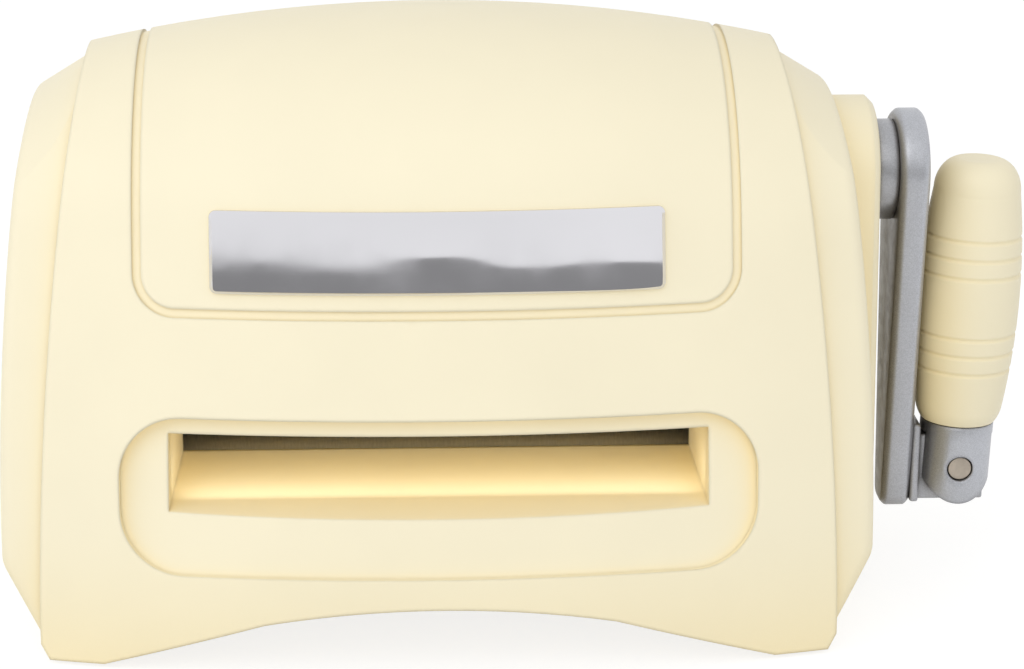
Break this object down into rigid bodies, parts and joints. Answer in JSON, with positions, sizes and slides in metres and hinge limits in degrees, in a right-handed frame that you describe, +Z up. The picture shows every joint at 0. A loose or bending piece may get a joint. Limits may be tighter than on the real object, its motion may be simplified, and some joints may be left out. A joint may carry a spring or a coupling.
{
  "type": "manual die cutting machine",
  "caption": "Hand-cranked tabletop die cutting machine: rounded moulded shell with a wide feed slot, geared rollers inside and a side crank with a fold-out grip.",
  "frame": {"origin": "on the bench plane, in the middle of the body's footprint, without the crank", "axes": "+X towards the crank side, +Y away from the user who faces the front slot, +Z up"},
  "size_m": [0.3136, 0.1744, 0.1828],
  "materials": {
    "cream_shell": "fine satin moulded plastic",
    "cream_grip": "satin moulded plastic",
    "bright_plate": "bright mirror-like plate",
    "rubber": "matt rubber",
    "frame_steel": "zinc-grey coated sheet steel",
    "turned_steel": "turned steel",
    "gear_steel": "cut steel",
    "bush_bronze": "sintered bronze",
    "silver_paint": "satin silver paint on cast metal"
  },
  "bodies": {
    "machine": {"front_shell": "cream_shell", "rear_shell": "cream_shell", "left_end_cap": "cream_shell", "right_end_cap": "cream_shell", "nameplate": "bright_plate", "base_cover": "cream_shell", "rubber_feet": "rubber", "left_side_plate": "frame_steel", "right_side_plate": "frame_steel", "gear_plate": "frame_steel", "tie_rods": "turned_steel", "gear_plate_spacers": "turned_steel", "frame_screws": "turned_steel", "roller_bushings": "bush_bronze", "crank_bushings": "bush_bronze", "base_screws": "turned_steel", "shell_screws": "turned_steel"},
    "upper_roller_set": {"upper_roller": "turned_steel", "upper_roller_rings": "turned_steel", "upper_sync_gear": "gear_steel", "drive_gear": "gear_steel"},
    "lower_roller_set": {"lower_roller": "turned_steel", "lower_roller_rings": "turned_steel", "lower_sync_gear": "gear_steel"},
    "crank": {"crank_shaft": "turned_steel", "crank_shaft_ring": "turned_steel", "crank_pinion": "gear_steel", "crank_hub": "silver_paint", "crank_arm": "silver_paint", "crank_screw": "turned_steel", "hinge_block": "silver_paint", "hinge_pin": "turned_steel"},
    "handle": {"handle_socket": "silver_paint", "grip_spindle": "turned_steel"},
    "grip": {"handle_grip": "cream_grip"}
  },
  "joints": [
    {"name": "crank_spin", "type": "hinge", "parent": "machine", "child": "crank", "pos_m": [0, 0, 0.13], "axis": [1, 0, 0], "continuous": true},
    {"name": "upper_roller_spin", "type": "hinge", "parent": "machine", "child": "upper_roller_set", "pos_m": [0, 0, 0.0805], "axis": [1, 0, 0], "continuous": true},
    {"name": "lower_roller_spin", "type": "hinge", "parent": "machine", "child": "lower_roller_set", "pos_m": [0, 0, 0.04], "axis": [1, 0, 0], "continuous": true},
    {"name": "handle_fold", "type": "hinge", "parent": "crank", "child": "handle", "pos_m": [0.1658, 0, 0.035], "axis": [0, 1, 0], "range_deg": [0, 87.9]},
    {"name": "grip_spin", "type": "hinge", "parent": "handle", "child": "grip", "pos_m": [0.1658, 0, 0.035], "axis": [0.0366, 0, 0.9993], "continuous": true}
  ],
  "couplings": [
    {"joint": "upper_roller_spin", "follows": "crank_spin", "ratio": -0.29412},
    {"joint": "lower_roller_spin", "follows": "crank_spin", "ratio": 0.29412}
  ]
}
